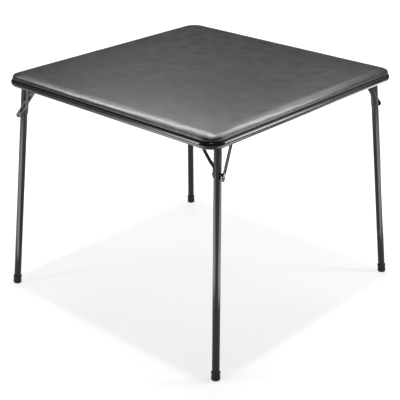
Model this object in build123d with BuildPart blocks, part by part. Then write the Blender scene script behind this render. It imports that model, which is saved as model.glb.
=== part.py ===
from build123d import *
from math import atan2, hypot, sqrt, tan
import os

os.makedirs("parts", exist_ok=True)

# A square folding card table, standing open on the floor.
# Origin on the floor under the middle of the top, +Z up, sides along X and Y.
# Each leg folds under the top towards the next corner, the four of them like a pinwheel.

# The whole table
table_side = 863.6
table_height = 724.0

# Round steel rail under the edge of the top, bent from one tube with its ends butted
rail_diameter = 22.2
rail_wall = 1.2
rail_corner_radius = 50.0
rail_seam_gap = 0.4
splice_length = 90.0
splice_wall = 1.5
splice_clearance = 0.05

# Padded top: hardboard panel, foam, and a vinyl cover that turns under the panel
top_inset = 5.5
cover_thickness = 1.0
cover_margin = 24.0
board_thickness = 4.0
foam_thickness = 8.9
foam_clearance = 0.1
edge_bead_height = 7.0
edge_bead_round = 2.6
cushion_step_in = 1.5
shoulder_width = 40.0
shoulder_drop = 5.9
shoulder_round = 3.0

# Screws inside the rail, up into the panel, driven through holes in the rail's underside
rail_screw_diameter = 4.2
rail_screw_head_diameter = 8.4
rail_screw_head_height = 2.6
rail_screw_bite = 3.2
rail_screw_places = (-255.0, 0.0, 255.0)
rail_access_diameter = 10.0
screw_hole_clearance = 0.05
screw_recess_width = 1.2
screw_recess_length = 4.6
screw_recess_depth = 1.3
screw_head_round = 1.1

# Staples that hold the turned-under vinyl to the panel
staple_crown = 10.0
staple_wire = 0.9
staple_leg = 3.6
staple_margin = 4.0
staple_pitch = 78.0
staple_count = 8

# Where a leg hangs, from the rail's outside corner: along the side it folds to, and inwards
hinge_along = 58.5
hinge_inwards = 34.0
hinge_drop = 6.0
foot_along = 2.0
foot_inwards = -14.0
fold_turn = 20.0

# Leg tube, its top end spun closed to a dome about the hinge rod
leg_diameter = 22.2
leg_wall = 1.2
leg_end_above_floor = 6.0

# Hinge rod, flush in the leg's outer wall, and the push nut on its inner end
rod_diameter = 8.0
rod_clearance = 0.05
rod_end_past_leg = 0.3
rod_end_chamfer = 0.8
rod_end_past_nut = 1.8
nut_diameter = 14.0
nut_thickness = 1.1
nut_collar_diameter = 10.4
nut_collar_height = 1.3
nut_gap = 0.1

# Brace: a steel strap whose lower end cups the leg and whose top reaches the rod
brace_width = 15.4
brace_thickness = 2.2
brace_tab = 39.5
brace_slope = 0.66
brace_strap_drop = 54.0
brace_bend_radius = 9.0
brace_cup_top = 68.0
brace_cup_bottom = 97.0
brace_cup_width = 20.4
brace_cup_corner = 6.0
brace_rivet_drop = 75.0
brace_rivet_diameter = 4.0
brace_rivet_head_diameter = 7.0
flush_head_height = 0.5
flush_head_round = 0.3

# Stud: a shouldered pin through the leg and its cup, which guides the lock arm
stud_drop = 85.5
stud_offset = 2.4
stud_diameter = 6.0
stud_shoulder_diameter = 9.6
stud_head_diameter = 9.0
stud_edge_round = 0.8
stud_clearance = 0.05
stud_gap = 0.3

# Lock arm: a pressed steel pan with a long slot
arm_pivot_along = 49.5
arm_offset = 20.6
arm_width = 15.0
arm_depth = 3.8
arm_thickness = 1.6
arm_tail = 11.0
arm_slot_clearance = 0.2
arm_notch_depth = 2.2

# Button that slides in the slot, and the rivet that the arm turns on
button_head_diameter = 10.0
button_head_height = 2.0
button_round = 0.9
button_clearance = 0.15
arm_rivet_diameter = 6.0
arm_rivet_head_diameter = 10.4
arm_rivet_head_height = 1.8
arm_rivet_clearance = 0.05
arm_rivet_side_clearance = 0.15

# Hinge bracket: a pressed plate under the panel with three ears
plate_thickness = 2.0
plate_length = 124.0
plate_width = 80.0
plate_corner_radius = 12.0
plate_rail_clearance = 0.25
ear_thickness = 2.2
leg_ear_gap = 0.5
hinge_ear_radius = 9.0
hinge_ear_top = 30.0
arm_ear_radius = 7.6
arm_ear_top = 24.0
arm_ear_gap = 0.3
brace_ear_gap = 0.6

# Screws that hold a bracket, from the rail's outside corner
bracket_screw_diameter = 4.0
bracket_screw_head_diameter = 8.0
bracket_screw_head_height = 2.2
bracket_screw_bite = 3.0
bracket_screw_places = ((36.0, 36.0), (130.0, 30.0), (130.0, 84.0), (36.0, 84.0))

# Rubber tip on a leg
tip_diameter = 27.4
tip_waist_diameter = 25.6
tip_height = 27.0
tip_bore_clearance = 0.05
tip_collar_height = 5.0
tip_collar_chamfer = 1.2
tip_waist_drop = 11.0
tip_sole_round = 5.0
tip_sole_wear = 0.9

# Worked out from the sizes above
half_side = table_side / 2
rail_radius = rail_diameter / 2
rail_reach = half_side - rail_radius
rail_bend = rail_corner_radius - rail_radius
rail_top = table_height - 2 * cover_thickness - board_thickness - foam_thickness
rail_height = rail_top - rail_radius
rail_bottom = rail_height - rail_radius
board_bottom = rail_top + cover_thickness
board_top = board_bottom + board_thickness
board_inset = top_inset + cover_thickness
cushion_inset = top_inset + cushion_step_in
hinge_height = rail_height - hinge_drop
plate_lift = rail_top - plate_thickness - hinge_height
corner_names = ("front_left", "front_right", "back_right", "back_left")

# The hinge frame: origin on the rod in the leg's middle, X the way the leg folds, Y inwards
# along the rod, Z up. A whole corner is made in it and then placed four times.
foot = Vector(foot_along - hinge_along, foot_inwards - hinge_inwards, -hinge_height)
foot = foot.rotate(Axis.Z, -fold_turn)
leg_length = foot.length
leg_up = foot.normalized() * -1
leg_side = Vector(0, 1, 0).cross(leg_up).normalized()
lean_out = atan2(-foot.Y, hypot(foot.X, foot.Z))
fold_angle = Vector(1, 0, 0).get_angle(Vector(foot.X, 0, foot.Z))

# Sketch planes: across the leg, square to the rod (facing outwards), the same turned with
# the leg, and along the leg looking sideways
leg_section = Plane(origin=(0, 0, 0), x_dir=leg_side, z_dir=leg_up)
rod_side = Plane(origin=(0, 0, 0), x_dir=(1, 0, 0), z_dir=(0, -1, 0))
leg_face = Plane(origin=(0, 0, 0), x_dir=leg_side, z_dir=(0, -1, 0))
leg_profile = Plane(origin=(0, 0, 0), x_dir=(0, 1, 0), z_dir=leg_side)

# Sketch plane over the bracket, with X and Y measured from the rail's outside corner
corner_origin = Vector(-hinge_along, -hinge_inwards, 0).rotate(Axis.Z, -fold_turn)
corner_x = Vector(1, 0, 0).rotate(Axis.Z, -fold_turn)
corner_plane = Plane(origin=corner_origin, x_dir=corner_x, z_dir=(0, 0, 1))


def corner_frame(quarter):
    """The hinge frame of the corner that lies this many quarter turns from the front left."""
    turn = 90 * quarter
    place = Vector(hinge_along - half_side, hinge_inwards - half_side, hinge_height)
    forward = Vector(1, 0, 0).rotate(Axis.Z, turn + fold_turn)
    return Plane(origin=place.rotate(Axis.Z, turn), x_dir=forward, z_dir=(0, 0, 1))


def rounded_square(inset, radius):
    """A square outline this far inside the rail's outer faces."""
    return RectangleRounded(table_side - 2 * inset, table_side - 2 * inset, radius)


def cushion_block(base, top, inset, rim_round):
    """A flat pad whose top falls in a long arc to a small rounded rim all the way round."""
    reach = half_side - inset - shoulder_width
    bend = rail_corner_radius - inset - shoulder_width
    rim_bottom = -shoulder_drop - rim_round
    cut_reach = shoulder_width + cover_thickness
    with BuildPart() as block:
        with BuildSketch(Plane.XY.offset(base)):
            rounded_square(inset, rail_corner_radius - inset)
        extrude(amount=top - base)
        for way in (1, -1):
            with BuildLine(Plane.XY.offset(top)) as path:
                FilletPolyline(
                    (0, -reach), (way * reach, -reach), (way * reach, reach), (0, reach),
                    radius=bend)
            side_plane = Plane(origin=(0, -reach, top), x_dir=(0, -1, 0), z_dir=(-1, 0, 0))
            with BuildSketch(side_plane) as fall:
                with BuildLine():
                    TangentArc((0, 0), (shoulder_width, -shoulder_drop), tangent=(1, 0))
                    Polyline(
                        (shoulder_width, -shoulder_drop), (shoulder_width, rim_bottom),
                        (cut_reach, rim_bottom), (cut_reach, cover_thickness),
                        (0, cover_thickness), (0, 0))
                make_face()
                rim = fall.vertices().sort_by_distance((shoulder_width, -shoulder_drop, 0))[0]
                fillet(rim, radius=rim_round)
            sweep(path=path.wires()[0], mode=Mode.SUBTRACT)
    return block.part


def pan_screws(seat, tip, diameter, head_diameter, head_height, spots):
    """Upward screws with crossed recesses: heads below the seat height, shanks to the tip."""
    with BuildPart() as screws:
        with BuildSketch(Plane.XY.offset(seat - head_height)):
            with Locations(*spots):
                Circle(head_diameter / 2)
        extrude(amount=head_height)
        fillet(screws.faces().group_by(Axis.Z)[0].edges(), radius=screw_head_round)
        with BuildSketch(Plane.XY.offset(seat)):
            with Locations(*spots):
                Circle(diameter / 2)
        extrude(amount=tip - seat)
        with BuildSketch(Plane.XY.offset(seat - head_height)):
            with Locations(*spots):
                Rectangle(screw_recess_length, screw_recess_width)
                Rectangle(screw_recess_width, screw_recess_length)
        extrude(amount=screw_recess_depth, mode=Mode.SUBTRACT)
    return screws


# Where the screws stand, seen from above
rail_screw_spots = []
for along in rail_screw_places:
    rail_screw_spots += [(along, -rail_reach), (along, rail_reach)]
    rail_screw_spots += [(-rail_reach, along), (rail_reach, along)]
bracket_screw_spots = []
for quarter in range(len(corner_names)):
    for along, inwards in bracket_screw_places:
        spot = Vector(along - half_side, inwards - half_side, 0).rotate(Axis.Z, 90 * quarter)
        bracket_screw_spots.append((spot.X, spot.Y))

# Screws whose heads bear on the rail's upper wall, and screws up through the bracket plates
rail_screw_seat = sqrt((rail_radius - rail_wall) ** 2 - (rail_screw_head_diameter / 2) ** 2)
rail_screws = pan_screws(
    rail_height + rail_screw_seat, board_bottom + rail_screw_bite, rail_screw_diameter,
    rail_screw_head_diameter, rail_screw_head_height, rail_screw_spots)
bracket_screws = pan_screws(
    rail_top - plate_thickness, board_bottom + bracket_screw_bite, bracket_screw_diameter,
    bracket_screw_head_diameter, bracket_screw_head_height, bracket_screw_spots)

# Staples along each side, just inside the rail, up through the vinyl into the panel
staple_line = half_side - top_inset - cover_margin + staple_margin
staple_leg_reach = (staple_crown - staple_wire) / 2
with BuildPart() as cover_staples:
    for quarter in range(len(corner_names)):
        for index in range(staple_count):
            along = (index - (staple_count - 1) / 2) * staple_pitch
            spot = Vector(along, -staple_line, rail_top - staple_wire)
            staple_plane = Plane(
                origin=spot.rotate(Axis.Z, 90 * quarter),
                x_dir=Vector(1, 0, 0).rotate(Axis.Z, 90 * quarter),
                z_dir=(0, 0, 1))
            with BuildSketch(staple_plane):
                Rectangle(staple_crown, staple_wire)
            extrude(amount=staple_wire)
            with BuildSketch(staple_plane):
                with Locations((-staple_leg_reach, 0), (staple_leg_reach, 0)):
                    Rectangle(staple_wire, staple_wire)
            extrude(amount=staple_wire + staple_leg)

# Hardboard panel, with a hole for each screw
with BuildPart() as top_board:
    with BuildSketch(Plane.XY.offset(board_bottom)):
        rounded_square(board_inset, rail_corner_radius - board_inset)
    extrude(amount=board_thickness)
    with BuildSketch(Plane.XY.offset(board_bottom)):
        with Locations(*rail_screw_spots):
            Circle(rail_screw_diameter / 2 + screw_hole_clearance)
        with Locations(*bracket_screw_spots):
            Circle(bracket_screw_diameter / 2 + screw_hole_clearance)
    extrude(amount=board_thickness, mode=Mode.SUBTRACT)
    add(cover_staples.part, mode=Mode.SUBTRACT)

# Foam pad, flat on the panel, drawn down towards its edge
foam_inset = cushion_inset + cover_thickness + foam_clearance
foam_top = board_top + foam_thickness - foam_clearance
with BuildPart() as foam_pad:
    add(cushion_block(board_top, foam_top, foam_inset, shoulder_round - cover_thickness))

# Vinyl cover: the cushion, over the bead where the sheet wraps the panel's edge
with BuildPart() as top_cover:
    with BuildSketch(Plane.XY.offset(rail_top)):
        rounded_square(top_inset, rail_corner_radius - top_inset)
    extrude(amount=edge_bead_height)
    bead_ends = top_cover.faces().filter_by(Axis.Z)
    fillet(bead_ends.edges(), radius=edge_bead_round)
    add(cushion_block(board_top, table_height, cushion_inset, shoulder_round))
    cavity_inset = cushion_inset + cover_thickness
    cavity_top = table_height - cover_thickness
    cavity_round = shoulder_round - cover_thickness
    add(cushion_block(board_top, cavity_top, cavity_inset, cavity_round), mode=Mode.SUBTRACT)
    with BuildSketch(Plane.XY.offset(board_bottom)):
        rounded_square(board_inset, rail_corner_radius - board_inset)
    extrude(amount=board_thickness, mode=Mode.SUBTRACT)
    with BuildSketch(Plane.XY.offset(rail_top)):
        opening_inset = top_inset + cover_margin
        rounded_square(opening_inset, rail_corner_radius - opening_inset)
        with Locations(*rail_screw_spots):
            Circle(rail_screw_diameter / 2 + screw_hole_clearance)
        with Locations(*bracket_screw_spots):
            Circle(bracket_screw_diameter / 2 + screw_hole_clearance)
    extrude(amount=cover_thickness, mode=Mode.SUBTRACT)
    add(cover_staples.part, mode=Mode.SUBTRACT)

# Steel rail: one tube bent round the four corners, butted at the middle of the back side
rail_section = Plane(origin=(rail_seam_gap / 2, rail_reach, rail_height), z_dir=(1, 0, 0))
with BuildPart() as frame_rail:
    with BuildLine(Plane.XY.offset(rail_height)) as rail_path:
        FilletPolyline(
            (rail_seam_gap / 2, rail_reach), (rail_reach, rail_reach),
            (rail_reach, -rail_reach), (-rail_reach, -rail_reach),
            (-rail_reach, rail_reach), (-rail_seam_gap / 2, rail_reach),
            radius=rail_bend)
    with BuildSketch(rail_section):
        Circle(rail_radius)
        Circle(rail_radius - rail_wall, mode=Mode.SUBTRACT)
    sweep(path=rail_path.wires()[0])
    with BuildSketch(Plane.XY.offset(rail_bottom)):
        with Locations(*rail_screw_spots):
            Circle(rail_access_diameter / 2)
    extrude(amount=rail_radius, mode=Mode.SUBTRACT)
    with BuildSketch(Plane.XY.offset(rail_height)):
        with Locations(*rail_screw_spots):
            Circle(rail_screw_diameter / 2 + screw_hole_clearance)
    extrude(amount=rail_radius, mode=Mode.SUBTRACT)

# Sleeve inside the rail that joins its two ends, with room for the middle screw's head
splice_radius = rail_radius - rail_wall - splice_clearance
with BuildPart() as rail_splice:
    with BuildSketch(Plane(origin=(0, rail_reach, rail_height), z_dir=(1, 0, 0))):
        Circle(splice_radius)
        Circle(splice_radius - splice_wall, mode=Mode.SUBTRACT)
    extrude(amount=splice_length / 2, both=True)
    with BuildSketch(Plane.XY.offset(rail_bottom)):
        with Locations((0, rail_reach)):
            Circle(rail_access_diameter / 2)
    extrude(amount=rail_diameter, mode=Mode.SUBTRACT)

# Leg tube, with holes for the rod, the stud and the brace's rivet
leg_radius = leg_diameter / 2
leg_end = leg_length - leg_end_above_floor
rod_hole = rod_diameter / 2 + rod_clearance
stud_spot = (-stud_offset, -stud_drop)
rivet_spot = (0, -brace_rivet_drop)
with BuildPart() as leg_tube:
    for radius, keep in ((leg_radius, Mode.ADD), (leg_radius - leg_wall, Mode.SUBTRACT)):
        with BuildSketch(leg_section):
            Circle(radius)
        extrude(amount=-leg_end, mode=keep)
        Sphere(radius, mode=keep)
    with BuildSketch(leg_face):
        Circle(rod_hole)
        with Locations(stud_spot):
            Circle(stud_diameter / 2 + stud_clearance)
    extrude(amount=leg_diameter, both=True, mode=Mode.SUBTRACT)
    with BuildSketch(leg_face):
        with Locations(rivet_spot):
            Circle(brace_rivet_diameter / 2 + stud_clearance)
    extrude(amount=-leg_diameter, mode=Mode.SUBTRACT)

# Brace: a cup on the leg's inner side, flaring into a strap that leans in to the rod
cup_outside = leg_radius + brace_thickness
strap_start = cup_outside - brace_thickness / 2 - brace_cup_top * tan(lean_out)
strap_start += (brace_cup_top - brace_strap_drop) * brace_slope
tab_bend_drop = brace_strap_drop - (brace_tab - strap_start) / brace_slope
strap_foot = leg_profile.from_local_coords((strap_start, -brace_strap_drop, 0))
strap_up = leg_profile.x_dir * brace_slope + leg_profile.y_dir
cup_length = brace_cup_bottom - brace_cup_top
with BuildPart() as leg_brace:
    with BuildSketch(leg_section.offset(-brace_cup_top)) as cup_section:
        Circle(cup_outside)
        with Locations((0, leg_diameter / 2)):
            Rectangle(brace_cup_width, leg_diameter, mode=Mode.INTERSECT)
        Circle(leg_radius, mode=Mode.SUBTRACT)
    extrude(amount=-cup_length)
    with BuildSketch(leg_section.offset(-brace_cup_top)):
        add(cup_section.sketch_local)
    with BuildSketch(Plane(origin=strap_foot, x_dir=leg_side, z_dir=strap_up)):
        Rectangle(brace_width, brace_thickness)
    loft(ruled=True)
    with BuildSketch(leg_profile):
        with BuildLine():
            FilletPolyline(
                (strap_start, -brace_strap_drop), (brace_tab, -tab_bend_drop),
                (brace_tab, brace_width / 2), radius=brace_bend_radius)
        trace(line_width=brace_thickness)
    extrude(amount=brace_width / 2, both=True)
    with BuildSketch(leg_face):
        Circle(brace_width / 2)
        with Locations((0, -brace_cup_top / 2)):
            Rectangle(brace_cup_width, brace_cup_top)
        with Locations((0, -brace_cup_top - cup_length / 2)):
            RectangleRounded(brace_cup_width, cup_length, brace_cup_corner)
        with Locations((0, -brace_cup_top)):
            Rectangle(brace_cup_width, 2 * brace_cup_corner)
    extrude(amount=leg_length, both=True, mode=Mode.INTERSECT)
    with BuildSketch(leg_face):
        Circle(rod_hole)
        with Locations(stud_spot):
            Circle(stud_diameter / 2 + stud_clearance)
        with Locations(rivet_spot):
            Circle(brace_rivet_diameter / 2 + stud_clearance)
    extrude(amount=leg_length, both=True, mode=Mode.SUBTRACT)


def flush_head(middle, spot, diameter):
    """A low head on the cup's outer face, over a spot where the leg's middle is that far out."""
    with BuildPart() as head:
        with BuildSketch(leg_face.offset(middle)):
            with Locations(spot):
                Circle(diameter / 2)
        extrude(amount=-(cup_outside + flush_head_height))
        fillet(head.edges().sort_by(Axis.Y)[-1], radius=flush_head_round)
        with BuildSketch(leg_section):
            Circle(cup_outside)
        extrude(amount=-leg_end, mode=Mode.SUBTRACT)
    return head.part


# Rivet through the cup and the leg's wall above the stud
rivet_middle = brace_rivet_drop * tan(lean_out)
with BuildPart() as brace_rivet:
    add(flush_head(rivet_middle, rivet_spot, brace_rivet_head_diameter))
    with BuildSketch(leg_face.offset(rivet_middle - leg_radius / 2)):
        with Locations(rivet_spot):
            Circle(brace_rivet_diameter / 2)
    extrude(amount=-(cup_outside - leg_radius / 2 + stud_clearance))

# Stud: shoulder on the leg's outer side, pin through leg and cup, head on the cup
stud_middle = stud_drop * tan(lean_out)
with BuildPart() as arm_stud:
    with BuildSketch(leg_face.offset(stud_middle)):
        with Locations(stud_spot):
            Circle(stud_shoulder_diameter / 2)
    extrude(amount=arm_offset - stud_gap - stud_middle)
    fillet(arm_stud.edges().sort_by(Axis.Y)[0], radius=stud_edge_round)
    with BuildSketch(leg_section):
        Circle(leg_radius)
    extrude(amount=-leg_end, mode=Mode.SUBTRACT)
    add(flush_head(stud_middle, stud_spot, stud_head_diameter))
    with BuildSketch(leg_face.offset(stud_middle + leg_radius)):
        with Locations(stud_spot):
            Circle(stud_diameter / 2)
    extrude(amount=-(leg_radius + cup_outside + stud_clearance))

# Lock arm: a shallow pan from its rivet down past the stud, with the slot along its middle.
# The stud moves up the slot as the leg folds, from the locked end to the folded end.
stud_place = leg_face.from_local_coords(stud_spot)
folded_place = stud_place.rotate(Axis.Y, -fold_angle)
arm_down = Vector(stud_place.X - arm_pivot_along, 0, stud_place.Z)
arm_folded = Vector(folded_place.X - arm_pivot_along, 0, folded_place.Z)
arm_reach = arm_down.length
slot_travel = arm_reach - arm_folded.length
arm_span = arm_reach + arm_tail
slot_width = stud_diameter + 2 * arm_slot_clearance
arm_plane = Plane(origin=(arm_pivot_along, -arm_offset, 0), x_dir=arm_down, z_dir=(0, -1, 0))
with BuildPart() as lock_arm:
    with BuildSketch(arm_plane):
        with Locations((arm_span / 2, 0)):
            SlotCenterToCenter(arm_span, arm_width)
    extrude(amount=arm_depth)
    with BuildSketch(arm_plane.offset(arm_thickness)):
        with Locations((arm_span / 2, 0)):
            SlotCenterToCenter(arm_span, arm_width - 2 * arm_thickness)
    extrude(amount=arm_depth, mode=Mode.SUBTRACT)
    with BuildSketch(arm_plane):
        Circle(arm_rivet_diameter / 2 + arm_rivet_clearance)
        with Locations((arm_reach - slot_travel / 2, 0)):
            SlotCenterToCenter(slot_travel, slot_width)
        with Locations((arm_reach, -arm_notch_depth)):
            Circle(slot_width / 2)
    extrude(amount=arm_thickness, mode=Mode.SUBTRACT)
    back_face = lock_arm.faces().sort_by(Axis.Y)[-1]
    fillet(back_face.outer_wire().edges(), radius=arm_thickness / 2)

# Button: its neck stands in the slot in line with the stud, its head lies in the pan
with BuildPart() as slide_button:
    with BuildSketch(arm_plane):
        with Locations((arm_reach, 0)):
            Circle(stud_diameter / 2)
    extrude(amount=arm_thickness + button_clearance)
    with BuildSketch(arm_plane.offset(arm_thickness + button_clearance)):
        with Locations((arm_reach, 0)):
            Circle(button_head_diameter / 2)
    extrude(amount=button_head_height)
    fillet(slide_button.edges().sort_by(Axis.Y)[0], radius=button_round)

# Rivet that the arm turns on, clamped in the bracket's arm ear
rivet_outer = arm_thickness + arm_rivet_side_clearance
rivet_inner = arm_ear_gap + ear_thickness
with BuildPart() as arm_rivet:
    with BuildSketch(arm_plane.offset(rivet_outer)):
        Circle(arm_rivet_head_diameter / 2)
    extrude(amount=arm_rivet_head_height)
    fillet(arm_rivet.edges().sort_by(Axis.Y)[0], radius=button_round)
    with BuildSketch(arm_plane.offset(-rivet_inner)):
        Circle(arm_rivet_head_diameter / 2)
    extrude(amount=-arm_rivet_head_height)
    fillet(arm_rivet.edges().sort_by(Axis.Y)[-1], radius=button_round)
    with BuildSketch(arm_plane.offset(rivet_outer)):
        Circle(arm_rivet_diameter / 2)
    extrude(amount=-(rivet_outer + rivet_inner))

# Hinge bracket: a plate that fits the rail's corner, with two rod ears, one beside the leg
# and one beyond the brace, and the arm ear
plate_edge = rail_radius + sqrt(rail_radius ** 2 - (rail_radius - plate_thickness) ** 2)
plate_edge += plate_rail_clearance
leg_ear_face = leg_radius + leg_ear_gap
brace_ear_face = brace_tab + brace_thickness / 2 + brace_ear_gap
arm_ear_face = arm_offset - arm_ear_gap - ear_thickness
hinge_spot = (0, 0)
arm_spot = (arm_pivot_along, 0)
ears = (
    (-brace_ear_face - ear_thickness, hinge_spot, hinge_ear_radius, hinge_ear_top),
    (-leg_ear_face - ear_thickness, hinge_spot, hinge_ear_radius, hinge_ear_top),
    (arm_ear_face, arm_spot, arm_ear_radius, arm_ear_top))
with BuildPart() as hinge_bracket:
    with BuildSketch(corner_plane.offset(plate_lift)) as plate_outline:
        with Locations((plate_edge, plate_edge)):
            Rectangle(plate_length, plate_width, align=(Align.MIN, Align.MIN))
        free_corners = plate_outline.vertices().sort_by_distance((0, 0, 0))[1:]
        fillet(free_corners, radius=plate_corner_radius)
        rail_corner = plate_outline.vertices().sort_by_distance((0, 0, 0))[0]
        fillet(rail_corner, radius=rail_corner_radius - plate_edge)
    extrude(amount=plate_thickness)
    for face, spot, ear_radius, ear_top in ears:
        with BuildSketch(rod_side.offset(face)):
            with Locations(spot):
                Circle(ear_radius)
            with Locations((spot[0], plate_lift + plate_thickness / 2)):
                Rectangle(ear_top, plate_thickness)
            make_hull()
        extrude(amount=ear_thickness)
    with BuildSketch(rod_side):
        Circle(rod_hole)
    extrude(amount=leg_length, both=True, mode=Mode.SUBTRACT)
    with BuildSketch(rod_side):
        with Locations(arm_spot):
            Circle(arm_rivet_diameter / 2 + arm_rivet_clearance)
    extrude(amount=leg_length, both=True, mode=Mode.SUBTRACT)
    with BuildSketch(corner_plane.offset(plate_lift)):
        with Locations(*bracket_screw_places):
            Circle(bracket_screw_diameter / 2 + screw_hole_clearance)
    extrude(amount=plate_thickness, mode=Mode.SUBTRACT)

# Hinge rod: from the leg's outer wall through both ears and the push nut; it turns with the leg
nut_face = brace_ear_face + ear_thickness + nut_gap
rod_end = nut_face + nut_thickness + nut_collar_height + rod_end_past_nut
with BuildPart() as hinge_rod:
    with BuildSketch(rod_side.offset(leg_radius + rod_end_past_leg)):
        Circle(rod_diameter / 2)
    extrude(amount=-(leg_radius + rod_end_past_leg + rod_end))
    chamfer(hinge_rod.edges().sort_by(Axis.Y)[-1], length=rod_end_chamfer)

# Push nut: a flanged collar on the rod, against the inner ear
with BuildPart() as push_nut:
    with BuildSketch(rod_side.offset(-nut_face)):
        Circle(nut_diameter / 2)
    extrude(amount=-nut_thickness)
    with BuildSketch(rod_side.offset(-nut_face)):
        Circle(nut_collar_diameter / 2)
    extrude(amount=-(nut_thickness + nut_collar_height))
    with BuildSketch(rod_side.offset(-nut_face)):
        Circle(rod_hole)
    extrude(amount=-rod_end, mode=Mode.SUBTRACT)

# Rubber tip: turned about the leg's middle line and worn flat where it stands
tip_sole = -leg_length - tip_sole_wear
tip_top = tip_height - leg_length
tip_radius = tip_diameter / 2
tip_waist_radius = tip_waist_diameter / 2
tip_collar_bottom = tip_top - tip_collar_height
tip_side = Plane(origin=(0, 0, 0), x_dir=leg_side, z_dir=leg_side.cross(leg_up))
with BuildPart() as rubber_tip:
    with BuildSketch(tip_side) as tip_profile:
        with BuildLine():
            Polyline(
                (0, tip_sole), (tip_radius, tip_sole),
                (tip_waist_radius, tip_top - tip_waist_drop),
                (tip_waist_radius, tip_collar_bottom), (tip_radius, tip_collar_bottom),
                (tip_radius, tip_top), (0, tip_top), close=True)
        make_face()
        sole_corner = tip_profile.vertices().sort_by_distance((tip_radius, tip_sole, 0))[0]
        fillet(sole_corner, radius=tip_sole_round)
        collar_corner = tip_profile.vertices().sort_by_distance((tip_radius, tip_top, 0))[0]
        chamfer(collar_corner, length=tip_collar_chamfer)
    revolve(axis=Axis((0, 0, 0), leg_up))
    with BuildSketch(leg_section.offset(-leg_end)):
        Circle(leg_radius + tip_bore_clearance)
    extrude(amount=leg_end, mode=Mode.SUBTRACT)
    with BuildSketch(Plane.XY.offset(-hinge_height)):
        with Locations((foot.X, foot.Y)):
            Circle(tip_diameter)
    extrude(amount=-tip_height, mode=Mode.SUBTRACT)

# The fixed top's pieces, as they stand
top_pieces = {
    "top_cover": top_cover, "foam_pad": foam_pad, "top_board": top_board,
    "cover_staples": cover_staples, "frame_rail": frame_rail, "rail_splice": rail_splice,
    "rail_screws": rail_screws, "bracket_screws": bracket_screws}
for name, piece in top_pieces.items():
    piece.part.label = name
    export_step(piece.part, f"parts/{name}.step")

# The corner's pieces, placed at each of the four corners
corner_pieces = {
    "hinge_bracket": hinge_bracket, "hinge_rod": hinge_rod, "push_nut": push_nut,
    "arm_rivet": arm_rivet, "leg_tube": leg_tube, "leg_brace": leg_brace,
    "brace_rivet": brace_rivet, "arm_stud": arm_stud, "lock_arm": lock_arm,
    "slide_button": slide_button, "rubber_tip": rubber_tip}
for quarter, corner_name in enumerate(corner_names):
    for name, piece in corner_pieces.items():
        with BuildPart() as placed:
            with Locations(corner_frame(quarter).location):
                add(piece.part)
        placed.part.label = f"{name}_{corner_name}"
        export_step(placed.part, f"parts/{name}_{corner_name}.step")
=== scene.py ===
# %% [markdown]
# # A folding card table in a white studio
#
# The table is a padded, vinyl-covered top on a rail of bent steel tube, with four splayed legs
# that fold under it. The steel pieces arrive already modelled, so this lesson adds what they
# lack: the padded top with its rolled edge, a real finish on every piece, the studio and the
# camera. Everything is in metres, with the floor at zero height under the middle of the top.

# %% Load the table
from math import atan2, cos, degrees, pi, radians, sin, sqrt

import bpy
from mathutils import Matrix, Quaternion, Vector, noise


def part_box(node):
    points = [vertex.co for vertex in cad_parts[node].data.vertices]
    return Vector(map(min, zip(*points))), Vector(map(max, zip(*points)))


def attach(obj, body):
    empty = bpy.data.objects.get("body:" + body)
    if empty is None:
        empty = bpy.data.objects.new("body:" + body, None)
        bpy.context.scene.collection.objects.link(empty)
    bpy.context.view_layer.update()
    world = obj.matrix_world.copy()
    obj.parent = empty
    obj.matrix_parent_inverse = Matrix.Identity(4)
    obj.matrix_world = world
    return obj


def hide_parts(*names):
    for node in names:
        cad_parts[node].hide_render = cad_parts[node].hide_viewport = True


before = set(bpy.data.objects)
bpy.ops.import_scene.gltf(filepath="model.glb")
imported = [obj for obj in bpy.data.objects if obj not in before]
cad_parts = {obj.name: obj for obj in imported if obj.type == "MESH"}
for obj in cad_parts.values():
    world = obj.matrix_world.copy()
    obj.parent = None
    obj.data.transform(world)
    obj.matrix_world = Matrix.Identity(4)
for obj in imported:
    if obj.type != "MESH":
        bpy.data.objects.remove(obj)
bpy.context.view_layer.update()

# %% [markdown]
# ## Colours
#
# Colours are written as they look on screen, in hex, because that is how a picture is read.
# Blender's shaders want them in linear light, so one function turns one into the other.

# %% Screen colours to linear light
def linear(hex_colour):
    """A screen colour such as #1c1c1d as linear red, green, blue and full opacity."""
    channels = [int(hex_colour[i:i + 2], 16) / 255 for i in (1, 3, 5)]
    return [c / 12.92 if c <= 0.04045 else ((c + 0.055) / 1.055) ** 2.4 for c in channels] + [1.0]


print("a mid grey in linear light:", [round(c, 3) for c in linear("#808080")])

# %% [markdown]
# ## Shader nodes
#
# A material is a small network of nodes. It can be wired up by hand on screen, but in a script
# one helper that adds a node, sets its values and joins its inputs keeps each recipe short.
# A second helper starts an empty material that reads the place on the piece in metres, so that
# every pattern below can be given its real size.

# %% Add a node, start a finish
millimetre = 0.001


def add_node(tree, kind, settings=None, links=None):
    """Add a shader node, set its options and input values, and link its inputs.

    An input goes by its name, or by its number where two of the node's inputs share a name.
    """
    node = tree.nodes.new(kind)
    for name, value in (settings or {}).items():
        if isinstance(name, int) or name in node.inputs:
            node.inputs[name].default_value = value
        else:
            setattr(node, name, value)
    for name, output in (links or {}).items():
        tree.links.new(output, node.inputs[name])
    return node


def new_finish(name):
    """An empty material, its node tree, and the place on the piece in metres."""
    material = bpy.data.materials.new(name)
    material.use_nodes = True
    tree = material.node_tree
    tree.nodes.clear()
    place = add_node(tree, "ShaderNodeTexCoord").outputs["Object"]
    return material, tree, place


print("a pattern of one millimetre has the scale", 1 / millimetre)

# %% [markdown]
# No real surface has one flat colour. The next helper lets a pattern blend two colours. Noise
# seldom leaves the middle of its range, so that middle is stretched over the whole blend.

# %% Two colours from one pattern
pattern_low, pattern_high = 0.3, 0.7


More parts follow.
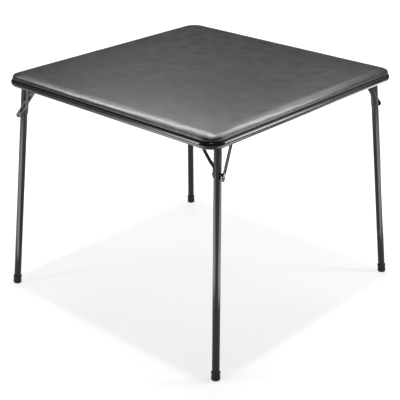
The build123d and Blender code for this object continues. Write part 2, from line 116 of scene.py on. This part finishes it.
def two_tone(tree, pattern, low, high):
    """A blend of two screen colours, driven by a pattern."""
    share = add_node(tree, "ShaderNodeMapRange",
                     {"From Min": pattern_low, "From Max": pattern_high}, {"Value": pattern})
    return add_node(tree, "ShaderNodeMixRGB",
                    {"Color1": linear(low), "Color2": linear(high)},
                    {"Fac": share.outputs[0]}).outputs["Color"]


print("patterns blend two colours between", pattern_low, "and", pattern_high)

# %% [markdown]
# ## The camera
#
# The photograph looks down over the front corner of the top with a long lens, so the near and
# far legs differ little in size. A camera can be placed by eye, but this one was worked out
# from the corners of the rail and the four feet, which puts every piece where the photograph
# has it. It is described by where it stands, how far it is turned from the Y axis, how far it
# looks down, and its focal length in millimetres.

# %% Camera
camera_place = (-2.28469, -2.07626, 1.66778)
camera_turn = 47.648
camera_down = 24.153
focal_length = 92.78
sensor_width = 36.0
camera_data = bpy.data.cameras.new("studio_camera")
camera_data.sensor_width = sensor_width
camera_data.lens = focal_length
camera = bpy.data.objects.new("studio_camera", camera_data)
camera.location = camera_place
camera.rotation_euler = (radians(90 - camera_down), 0, radians(-camera_turn))
bpy.context.scene.collection.objects.link(camera)
bpy.context.scene.camera = camera
bpy.context.scene.view_settings.view_transform = "Standard"
print("camera stands", round(Vector(camera_place).length, 2), "m from the middle of the floor")

# %% [markdown]
# ## What sees the white of the studio
#
# A catalogue picture stands on white with only a breath of shadow. Lighting the surroundings
# until they turn white would burn the table out as well. Instead they glow for chosen rays
# only, so the glow is seen but throws no light on matte things. The camera and glass see all
# of it, and mirrors see the share that they are given. The floor and the air both use this.

# %% Helper for the background's white
def background_share(tree, mirrored):
    """How much of the background's own white a ray sees, from none to all of it."""
    rays = add_node(tree, "ShaderNodeLightPath").outputs
    in_mirrors = add_node(tree, "ShaderNodeMath", {"operation": "MULTIPLY", 1: mirrored},
                          {0: rays["Is Glossy Ray"]}).outputs[0]
    seen = rays["Is Camera Ray"]
    for also_seen in (in_mirrors, rays["Is Transmission Ray"]):
        seen = add_node(tree, "ShaderNodeMath", {"operation": "MAXIMUM"},
                        {0: seen, 1: also_seen}).outputs[0]
    return seen


floor_in_mirrors, air_in_mirrors = 0.6, 0.0
print("mirrors see", floor_in_mirrors, "of the floor's white and", air_in_mirrors, "of the air's")

# %% [markdown]
# ## Studio paper
#
# The real set is a sheet of white paper. Its glow comes on top of the light that it really
# gets, so it reads as white while the shadow stays. It is weakest in a square under the table,
# a painted shadow over the real one, and grows over the next half metre, measured squarely as
# the shadow is, so that the shadow keeps its edge and the paper round it is pure white.

# %% Finish: studio paper
# The glow under the table is kept low to paint a shadow there, and grows to full white farther
# out.
painted_shadow_glow, far_glow = 0.73, 1.0
painted_shadow_reach, glow_ends = 0.45, 1.0


def studio_paper():
    """Matte white paper, grey in a painted shadow under the table and where no lamp reaches."""
    material, tree, place = new_finish("white_studio_paper")
    outwards = add_node(tree, "ShaderNodeVectorMath", {"operation": "ABSOLUTE"}, {0: place})
    sides = add_node(tree, "ShaderNodeSeparateXYZ", links={"Vector": outwards.outputs["Vector"]})
    distance = add_node(tree, "ShaderNodeMath", {"operation": "MAXIMUM"},
                        {0: sides.outputs["X"], 1: sides.outputs["Y"]})
    # The glow is lowest in a square under the table, which paints a shadow there.
    spread = add_node(tree, "ShaderNodeMapRange",
                      {"From Min": painted_shadow_reach, "From Max": glow_ends,
                       "To Min": painted_shadow_glow, "To Max": far_glow},
                      {"Value": distance.outputs[0]})
    glow = add_node(tree, "ShaderNodeMath", {"operation": "MULTIPLY"},
                    {0: background_share(tree, floor_in_mirrors), 1: spread.outputs[0]})
    light = add_node(tree, "ShaderNodeEmission", links={"Strength": glow.outputs[0]})
    matte = add_node(tree, "ShaderNodeBsdfDiffuse", {"Color": linear("#9a9a9a")})
    both = add_node(tree, "ShaderNodeAddShader", links={0: matte.outputs[0], 1: light.outputs[0]})
    add_node(tree, "ShaderNodeOutputMaterial", links={"Surface": both.outputs[0]})
    return material


paper = studio_paper()
print("made", paper.name, "with a glow of", painted_shadow_glow, "growing to", far_glow)

# %% [markdown]
# ## Floor
#
# One flat square of that paper carries the table. It reaches so far that the camera, even
# turned to look from low down, meets no edge near the table.

# %% White floor
floor_reach = 14.0
floor_mesh = bpy.data.meshes.new("studio_floor")
corners = [(-floor_reach, -floor_reach, 0), (floor_reach, -floor_reach, 0),
           (floor_reach, floor_reach, 0), (-floor_reach, floor_reach, 0)]
floor_mesh.from_pydata(corners, [], [(0, 1, 2, 3)])
floor_mesh.materials.append(paper)
floor = bpy.data.objects.new("studio_floor", floor_mesh)
bpy.context.scene.collection.objects.link(floor)
print("floor", 2 * floor_reach, "m square")

# %% [markdown]
# ## Air
#
# Above the floor there is only air. A plain white world would light the black table from every
# side and wash its highlights out. This one is white for the camera and glass, and otherwise
# gives a weak fill, so that the darkest places don't go dead black. Mirrors see that fill and
# none of the white, because the photograph's black surfaces mirror a dim room.

# %% World
fill = 0.08
world = bpy.data.worlds.new("studio_air")
world.use_nodes = True
tree = world.node_tree
tree.nodes.clear()
strength = add_node(tree, "ShaderNodeMapRange", {"To Min": fill, "To Max": 1.0},
                    {"Value": background_share(tree, air_in_mirrors)})
air = add_node(tree, "ShaderNodeBackground", {"Color": linear("#ffffff")},
               {"Strength": strength.outputs[0]})
add_node(tree, "ShaderNodeOutputWorld", links={"Surface": air.outputs[0]})
bpy.context.scene.world = world
print("fill light", fill)

# %% [markdown]
# ## Softboxes
#
# Black enamel and black vinyl show almost nothing but reflections, so the lamps are placed by
# what they draw. Two tall strips, one on each side, put the bright line along the rail. Three
# narrow boxes behind the table draw the highlight on the cushion's shoulder, one for each side
# and one for the corner, and the clouds give the field its sheen, which fades towards the back.
# A small far lamp straight above prints the top's square shadow on the floor.

# %% Lamps
def softbox(name, place, target, size, power, turn=0.0):
    """A rectangular lamp that faces a point, turned in degrees about its own aim."""
    lamp = bpy.data.lights.new(name, "AREA")
    lamp.shape = "RECTANGLE"
    lamp.size, lamp.size_y = size
    lamp.energy = power
    holder = bpy.data.objects.new(name, lamp)
    holder.location = place
    aim = (Vector(target) - Vector(place)).to_track_quat("-Z", "Y")
    holder.rotation_euler = (aim @ Quaternion((0, 0, 1), radians(turn))).to_euler()
    bpy.context.scene.collection.objects.link(holder)
    print(name, "power", power, "W")


table_middle = (0, 0, 0.6)
for name, place, size, power in (
        ("left_strip", (-2.7, 1.55, 1.45), (0.5, 1.4), 30),
        ("right_strip", (1.85, -2.2, 1.5), (0.5, 1.4), 34),
        ("left_cloud", (-1.9, 1.9, 2.45), (1.6, 1.6), 5),
        ("right_cloud", (2.1, -1.5, 2.55), (1.6, 1.6), 10),
        ("left_shoulder_box", (1.45, 2.45, 2.85), (1.8, 0.22), 23),
        ("right_shoulder_box", (2.4, 0.8, 2.7), (1.0, 0.25), 12),
        ("corner_box", (1.5, 1.25, 2.95), (0.6, 0.35), 14),
        ("low_cloud", (2.5, 2.0, 2.4), (2.2, 0.5), 5),
        ("overhead_box", (0, 0, 10.0), (0.35, 0.35), 300)):
    softbox(name, place, table_middle, size, power)

# %% [markdown]
# ## Cards on the floor
#
# An upright tube mirrors what lies below eye level, so the light flanks of the legs come from
# glowing cards that lie on the floor and face up, one on each side of the front leg. A small
# one further back lights the front lock arm. They are placed as the camera sees them, so many
# metres to the right of the table's middle and so many behind it.

# %% Floor cards
card_lift = 0.02
sideways = Vector((cos(radians(camera_turn)), -sin(radians(camera_turn)), 0))
backwards = Vector((sin(radians(camera_turn)), cos(radians(camera_turn)), 0))
for name, right, back, size, power in (
        ("left_card", -1.35, -0.85, (1.6, 1.3), 24),
        ("right_card", 1.35, -0.85, (1.6, 1.3), 23),
        ("arm_card", 1.2, 0.5, (0.85, 0.5), 6)):
    spot = right * sideways + back * backwards + Vector((0, 0, card_lift))
    softbox(name, spot, spot + Vector((0, 0, 1)), size, power, camera_turn)

# %% [markdown]
# ## Black vinyl
#
# The cover is expanded PVC on a cloth back, embossed with a fine leather grain and pulled
# tight over foam. A picture of leather could be wrapped round it, but it would repeat and hold
# only one size of detail. Three layers of bump don't: swells over a few centimetres, short
# creases, and the pits of the grain. A thin satin lacquer over them draws the crisp line in
# the middle of each highlight.

# %% Finish: embossed vinyl
def embossed_vinyl():
    """Embossed PVC: a broad soft sheen, mottled by swells, with a crisp line in each highlight."""
    swell_size = 40.0 * millimetre
    crease_size = 9.0 * millimetre
    # The real grain is about one millimetre, too fine for the picture, so it is drawn at three.
    grain_size = 3.0 * millimetre
    material, tree, place = new_finish("embossed_black_vinyl")
    swells = add_node(tree, "ShaderNodeTexNoise",
                      {"Scale": 1 / swell_size, "Detail": 3.0, "Roughness": 0.55,
                       "Distortion": 0.4}, {"Vector": place}).outputs["Fac"]
    creases = add_node(tree, "ShaderNodeTexNoise",
                       {"Scale": 1 / crease_size, "Detail": 1.5, "Roughness": 0.5,
                        "Distortion": 0.8}, {"Vector": place}).outputs["Fac"]
    pits = add_node(tree, "ShaderNodeTexVoronoi", {"Scale": 1 / grain_size},
                    {"Vector": place}).outputs["Distance"]
    colour = two_tone(tree, swells, "#050506", "#363637")
    rough = add_node(tree, "ShaderNodeMapRange", {"To Min": 0.28, "To Max": 0.36},
                     {"Value": swells}).outputs[0]
    broad = add_node(tree, "ShaderNodeBump", {"Strength": 0.38, "Distance": 2.2 * millimetre},
                     {"Height": swells})
    fine = add_node(tree, "ShaderNodeBump", {"Strength": 0.06, "Distance": 0.4 * millimetre},
                    {"Height": creases, "Normal": broad.outputs[0]})
    grain = add_node(tree, "ShaderNodeBump", {"Strength": 0.05, "Distance": 0.2 * millimetre},
                     {"Height": pits, "Normal": fine.outputs[0]})
    shader = add_node(tree, "ShaderNodeBsdfPrincipled",
                      {"Specular IOR Level": 0.38, "Coat Weight": 0.36, "Coat Roughness": 0.17},
                      {"Base Color": colour, "Roughness": rough, "Normal": grain.outputs[0]})
    add_node(tree, "ShaderNodeOutputMaterial", links={"Surface": shader.outputs[0]})
    return material


vinyl = embossed_vinyl()
print("made", vinyl.name)

# %% [markdown]
# ## Black enamel
#
# The rail, legs, braces, arms and brackets are mild steel, sprayed and baked, and so are the
# rods, studs, buttons and brace rivets that go with them. Baked enamel flows out almost like
# glass, so one glossy layer is enough, with no clear coat over it. The slight orange peel from
# spraying keeps its lines from being perfectly straight, and it is a little duller where hands
# have rubbed it.

# %% Finish: baked enamel
def baked_enamel():
    """Baked enamel on steel: deep black, with a sharp bright line along each tube."""
    peel_size = 2.5 * millimetre
    rubbed_size = 60.0 * millimetre
    material, tree, place = new_finish("baked_black_enamel")
    peel = add_node(tree, "ShaderNodeTexNoise", {"Scale": 1 / peel_size, "Detail": 1.0},
                    {"Vector": place}).outputs["Fac"]
    rubbed = add_node(tree, "ShaderNodeTexNoise", {"Scale": 1 / rubbed_size, "Detail": 4.0},
                      {"Vector": place}).outputs["Fac"]
    colour = two_tone(tree, rubbed, "#121213", "#1a1a1b")
    rough = add_node(tree, "ShaderNodeMapRange", {"To Min": 0.13, "To Max": 0.22},
                     {"Value": rubbed}).outputs[0]
    relief = add_node(tree, "ShaderNodeBump", {"Strength": 0.15, "Distance": 0.05 * millimetre},
                      {"Height": peel})
    shader = add_node(tree, "ShaderNodeBsdfPrincipled", {"IOR": 1.5},
                      {"Base Color": colour, "Roughness": rough, "Normal": relief.outputs[0]})
    add_node(tree, "ShaderNodeOutputMaterial", links={"Surface": shader.outputs[0]})
    return material


enamel = baked_enamel()
print("made", enamel.name)

# %% [markdown]
# ## Zinc plate
#
# Screws, push nuts, the arms' rivets, the staples and the sleeve in the rail are steel with a
# thin bright zinc plate. Zinc is a metal, so its colour tints its reflections, which a grey
# paint could not do. It is never polished, and fine scratches spread its highlights.

# %% Finish: zinc plate
def zinc_plate():
    """Zinc-plated steel: a pale cool metal with soft, slightly broken highlights."""
    scratch_size = 0.8 * millimetre
    material, tree, place = new_finish("bright_zinc_plate")
    scratches = add_node(tree, "ShaderNodeTexNoise", {"Scale": 1 / scratch_size, "Detail": 3.0},
                         {"Vector": place}).outputs["Fac"]
    colour = two_tone(tree, scratches, "#8d9092", "#b4b7b9")
    rough = add_node(tree, "ShaderNodeMapRange", {"To Min": 0.28, "To Max": 0.45},
                     {"Value": scratches}).outputs[0]
    shader = add_node(tree, "ShaderNodeBsdfPrincipled", {"Metallic": 1.0},
                      {"Base Color": colour, "Roughness": rough})
    add_node(tree, "ShaderNodeOutputMaterial", links={"Surface": shader.outputs[0]})
    return material


zinc = zinc_plate()
print("made", zinc.name)

# %% [markdown]
# ## Rubber
#
# The tips are moulded black rubber. Rubber takes the fine texture of its mould and has no
# gloss of its own, so a high roughness and a shallow bump are all that it needs. It is a shade
# greyer than the enamel above it.

# %% Finish: moulded rubber
def moulded_rubber():
    """Moulded rubber: matte charcoal with a faint skin."""
    skin_size = 1.5 * millimetre
    material, tree, place = new_finish("moulded_black_rubber")
    skin = add_node(tree, "ShaderNodeTexNoise", {"Scale": 1 / skin_size, "Detail": 3.0},
                    {"Vector": place}).outputs["Fac"]
    colour = two_tone(tree, skin, "#2a2a2a", "#343434")
    relief = add_node(tree, "ShaderNodeBump", {"Strength": 0.2, "Distance": 0.1 * millimetre},
                      {"Height": skin})
    shader = add_node(tree, "ShaderNodeBsdfPrincipled", {"Roughness": 0.62},
                      {"Base Color": colour, "Normal": relief.outputs[0]})
    add_node(tree, "ShaderNodeOutputMaterial", links={"Surface": shader.outputs[0]})
    return material


rubber = moulded_rubber()
print("made", rubber.name)

# %% [markdown]
# ## Hardboard
#
# The panel that carries the pad is hardboard, wood fibre pressed hot into a smooth brown face.
# It has no grain to follow, only short fibres lying every way, so stretched and twisted noise
# does for it what a wood pattern would do for a plank.

# %% Finish: pressed hardboard
def pressed_hardboard():
    """Pressed wood fibre: warm brown, flecked, and dull with a slight press shine."""
    fibre_size = 2.0 * millimetre
    material, tree, place = new_finish("pressed_hardboard")
    fibres = add_node(tree, "ShaderNodeTexNoise",
                      {"Scale": 1 / fibre_size, "Detail": 6.0, "Distortion": 2.0},
                      {"Vector": place}).outputs["Fac"]
    colour = two_tone(tree, fibres, "#4a3324", "#6b4c37")
    relief = add_node(tree, "ShaderNodeBump", {"Strength": 0.3, "Distance": 0.1 * millimetre},
                      {"Height": fibres})
    shader = add_node(tree, "ShaderNodeBsdfPrincipled", {"Roughness": 0.6},
                      {"Base Color": colour, "Normal": relief.outputs[0]})
    add_node(tree, "ShaderNodeOutputMaterial", links={"Surface": shader.outputs[0]})
    return material


hardboard = pressed_hardboard()
print("made", hardboard.name)

# %% [markdown]
# ## Foam
#
# The pad is cut from a block of soft foam. A knife leaves the cells open, so its surface is a
# mass of tiny cups. A cell pattern gives both their colour and their depth.

# %% Finish: cut foam
def cut_foam():
    """Cut foam: pale yellow, quite matte, with open cells."""
    cell_size = 1.2 * millimetre
    material, tree, place = new_finish("cut_foam")
    cells = add_node(tree, "ShaderNodeTexVoronoi", {"Scale": 1 / cell_size},
                     {"Vector": place}).outputs["Distance"]
    colour = two_tone(tree, cells, "#b9a878", "#d8caa0")
    relief = add_node(tree, "ShaderNodeBump", {"Strength": 0.6, "Distance": 0.4 * millimetre},
                      {"Height": cells})
    shader = add_node(tree, "ShaderNodeBsdfPrincipled", {"Roughness": 0.9},
                      {"Base Color": colour, "Normal": relief.outputs[0]})
    add_node(tree, "ShaderNodeOutputMaterial", links={"Surface": shader.outputs[0]})
    return material


foam = cut_foam()
print("made", foam.name)

# %% [markdown]
# ## Dress the steel
#
# The modelled pieces keep their shape. Each one's material slots are given the finish that the
# real piece has, looked up by the first words of its name, so that the four corners need only
# one entry for each kind of piece.

# %% Give every arriving piece its finish
finishes = {
    "hinge_bracket": enamel, "leg_tube": enamel, "leg_brace": enamel, "lock_arm": enamel,
    "frame_rail": enamel, "arm_stud": enamel, "slide_button": enamel, "brace_rivet": enamel,
    "hinge_rod": enamel, "push_nut": zinc, "arm_rivet": zinc, "rail_splice": zinc,
    "rail_screws": zinc, "bracket_screws": zinc, "cover_staples": zinc,
    "rubber_tip": rubber, "top_board": hardboard, "foam_pad": foam, "top_cover": vinyl}
for name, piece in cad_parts.items():
    finish = next(made for start, made in finishes.items() if name.startswith(start))
    if not piece.data.materials:
        piece.data.materials.append(finish)
    for index in range(len(piece.data.materials)):
        piece.data.materials[index] = finish
print("dressed", len(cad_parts), "pieces")

# %% [markdown]
# ## The padded top
#
# The real cover is one sheet of vinyl: flat over the foam with a slight crown, falling in a long
# soft shoulder to a small rim, drawn in where the foam ends, then out again round the panel's
# edge in a bead, and turned under it. A cloth simulation would lose the small radii of that
# edge, so the sheet is built as rings. Each ring is a rounded square, and going from ring to
# ring walks over the edge and under. The outer sizes are read from the modelled cover, which
# this sheet replaces.

# %% Sizes of the padded top
low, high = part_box("top_cover")
pad_reach = high.x
pad_bottom, pad_top = low.z, high.z
corner_round = 44.5 * millimetre
crown_rise = 1.2 * millimetre
crown_reach = 150.0 * millimetre
shoulder_width = 40.0 * millimetre
shoulder_drop = 5.9 * millimetre
rim_round = 3.0 * millimetre
draw_in = 1.5 * millimetre
tuck_depth = 0.8 * millimetre
tuck_drop = 0.2 * millimetre
bead_radius = 3.2 * millimetre
bead_height = 7.0 * millimetre
sheet_thickness = 1.0 * millimetre
board_thickness = 4.0 * millimetre
turned_under = 24.0 * millimetre
print("padded top", round(2 * pad_reach, 4), "m square and",
      round(pad_top - pad_bottom, 4), "m thick")

# %% [markdown]
# One function walks once round a rounded square at a given inset and height. Every ring has
# the same number of points, so neighbouring rings join with plain four-sided faces. Rings
# further in than the corner's radius keep a small radius. A ring that is smaller than that
# radius is a circle, and the points of each of its straight sides fall together.

# %% One ring of the cover
side_steps, corner_steps = 84, 14
least_radius = 3.0 * millimetre


def ring(inset, height):
    """Points round a rounded square this far inside the cover's widest outline."""
    reach = pad_reach - inset
    radius = min(max(corner_round - inset, least_radius), reach)
    straight = reach - radius
    points = []
    for quarter in range(4):
        turn = quarter * pi / 2
        for step in range(side_steps):
            share = step / side_steps
            points.append((turn, (2 * share - 1) * straight, -reach))
        for step in range(corner_steps):
            angle = (step / corner_steps) * pi / 2
            points.append((turn, straight + radius * sin(angle), -straight - radius * cos(angle)))
    return [Vector((x * cos(t) - y * sin(t), x * sin(t) + y * cos(t), height))
            for t, x, y in points]


ring_count = len(ring(0, pad_top))
print("points in a ring:", ring_count)

# %% [markdown]
# Seen in section, the sheet is a chain of arcs. The shoulder is part of a large circle that
# leaves the flat field level. The rim is a small circle that touches the large one from
# inside, so the sheet runs from one into the other with no corner. Where they touch is worked
# out from the two radii and how far their middles are apart.

# %% Circles of the shoulder and the rim
shoulder_end = draw_in + shoulder_width
shoulder_radius = (shoulder_width ** 2 + shoulder_drop ** 2) / (2 * shoulder_drop)
shoulder_middle = (shoulder_end, pad_top - shoulder_radius)
rim_inset = draw_in + rim_round
rim_lift = sqrt((shoulder_radius - rim_round) ** 2 - (shoulder_end - rim_inset) ** 2)
rim_middle = (rim_inset, shoulder_middle[1] + rim_lift)
touch_angle = degrees(atan2(rim_lift, shoulder_end - rim_inset))
print("the shoulder's radius is", round(shoulder_radius, 4), "m, and it meets the rim at",
      round(touch_angle, 1), "degrees")

# %% [markdown]
# Two small functions give the rest of the section: how high the crowned field stands at an
# inset, and the rings along any arc. A ring is written as its inset, its height and the part
# of the sheet that it belongs to.

# %% Heights of the crown and rings along an arc
def crown_height(inset):
    """The field's height: the pad's own at the shoulder, a little more towards the middle."""
    share = min((inset - shoulder_end) / crown_reach, 1.0)
    return pad_top + crown_rise * (1 - (1 - share) ** 2)


def arc_rings(middle, radius, angles, part):
    """Rings along an arc in the cover's cross-section, by angles above the level."""
    turns = [radians(angle) for angle in angles]
    return [(middle[0] - radius * cos(turn), middle[1] + radius * sin(turn), part)
            for turn in turns]


print("the crown is", round(crown_height(pad_reach) - pad_top, 4), "m higher than the shoulder")

# %% [markdown]
# Each stretch of the section gets its own number of rings. Those of the field crowd together
# towards the shoulder, where the light changes fastest. An arc gets its rings at even angles,
# counted in degrees above the level.

# %% Where the rings lie
field_rings, shoulder_rings, rim_rings, bead_rings = 26, 14, 5, 5
field_crowding = 1.4
# Half the width of the small hole that one face closes at the middle.
middle_patch = 1.0 * millimetre
# Where the bead's upper arc starts, and where its lower one starts and ends, in degrees.
over_the_bead = 75
under_the_bead, bead_ends = -5, -85
field_width = pad_reach - middle_patch - shoulder_end
field = [shoulder_end + field_width * (1 - step / field_rings) ** field_crowding
         for step in range(field_rings)]
fall = [90 - (90 - touch_angle) * step / shoulder_rings for step in range(shoulder_rings + 1)]
turn_down = [touch_angle * (1 - step / rim_rings) for step in range(1, rim_rings + 1)]
round_over = [over_the_bead * (1 - step / bead_rings) for step in range(bead_rings)]
round_under = [under_the_bead + (bead_ends - under_the_bead) * step / bead_rings
               for step in range(bead_rings + 1)]
print("rings over the shoulder:", len(fall), "and round the bead:",
      len(round_over) + len(round_under))

# %% [markdown]
# Walked from the middle of the field outwards, the profile is the crown, the shoulder's long
# arc, the small rim where that arc turns down, the drawn-in line, the bead over the panel's
# edge, and the turned-under hem with its cut edge. The inner face is the way back, and it is
# never seen, so every second ring is enough for it.

# %% The cover's profile
bead_top = pad_bottom + bead_height
hem_top = pad_bottom + sheet_thickness
board_top = hem_top + board_thickness
profile = [(inset, crown_height(inset), "field") for inset in field]
profile += arc_rings(shoulder_middle, shoulder_radius, fall, "field")
profile += arc_rings(rim_middle, rim_round, turn_down, "edge")
profile.append((draw_in + tuck_depth, bead_top - tuck_drop, "edge"))
profile += arc_rings((bead_radius, bead_top - bead_radius), bead_radius, round_over, "edge")
profile += arc_rings((bead_radius, pad_bottom + bead_radius), bead_radius, round_under, "edge")
profile += [(turned_under / 2, pad_bottom, "hem"), (turned_under, pad_bottom, "hem"),
            (turned_under, hem_top, "hem")]
profile += [(sheet_thickness, hem_top, "inner"), (sheet_thickness, board_top, "inner"),
            (draw_in + sheet_thickness, board_top, "inner")]
profile += arc_rings(rim_middle, rim_round - sheet_thickness, (0, touch_angle / 2), "inner")
profile += arc_rings(shoulder_middle, shoulder_radius - sheet_thickness, fall[::-2], "inner")
profile += [(pad_reach / 2, pad_top - sheet_thickness, "inner"),
            (pad_reach - middle_patch, pad_top - sheet_thickness, "inner")]
print("rings in the cover:", len(profile))

# %% [markdown]
# Stretched vinyl is never quite flat. A little smooth noise is added to each point: hardly
# anything over the field, where it goes up and down, and short soft puckers along the rolled
# edge and the hem, where the sheet is pulled in and out. It is the same each time, because the
# noise depends only on the place.

# %% The sheet's unevenness
# For each part of the sheet, the length of its waves and their height, in millimetres.
waves = {"field": ((55, 0.22), (18, 0.05)), "edge": ((14, 0.16), (40, 0.18)),
         "hem": ((9, 1.2),), "inner": ()}


def uneven(point, part):
    """Move a point of the sheet a little, as the pull of the fabric would."""
    shift = sum(noise.noise(point / (length * millimetre)) * height * millimetre
                for length, height in waves[part])
    upwards = Vector((0, 0, 1))
    outwards = Vector((point.x, point.y, 0)).normalized()
    return point + (upwards if part == "field" else outwards) * shift


most = sum(height for length, height in waves["edge"])
print("the edge is uneven by up to", round(most, 2), "mm")

# %% [markdown]
# The rings become one closed skin: faces between each ring and the next, and one face over
# the small hole that is left at the middle, above and below.

# %% Join the rings
points = [uneven(point, part) for inset, height, part in profile for point in ring(inset, height)]
faces = []
for first in range(0, len(points) - ring_count, ring_count):
    for step in range(ring_count):
        after = (step + 1) % ring_count
        faces.append((first + step, first + after,
                      first + ring_count + after, first + ring_count + step))
faces.append(tuple(range(ring_count))[::-1])
faces.append(tuple(range(len(points) - ring_count, len(points))))
cover_mesh = bpy.data.meshes.new("padded_cover")
cover_mesh.from_pydata(points, [], faces)
cover_mesh.polygons.foreach_set("use_smooth", [True] * len(cover_mesh.polygons))
cover_mesh.update()
print("padded cover:", len(points), "points,", len(faces), "faces")

# %% [markdown]
# The sheet then takes the place of the modelled cover. It moves with the table's top and wears
# the finish of the same slot.

# %% Put the cover on the table
cover = bpy.data.objects.new("padded_cover", cover_mesh)
bpy.context.scene.collection.objects.link(cover)
cover.data.materials.append(vinyl)
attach(cover, "table_top")
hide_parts("top_cover")
print("the cover rides on the table's top")
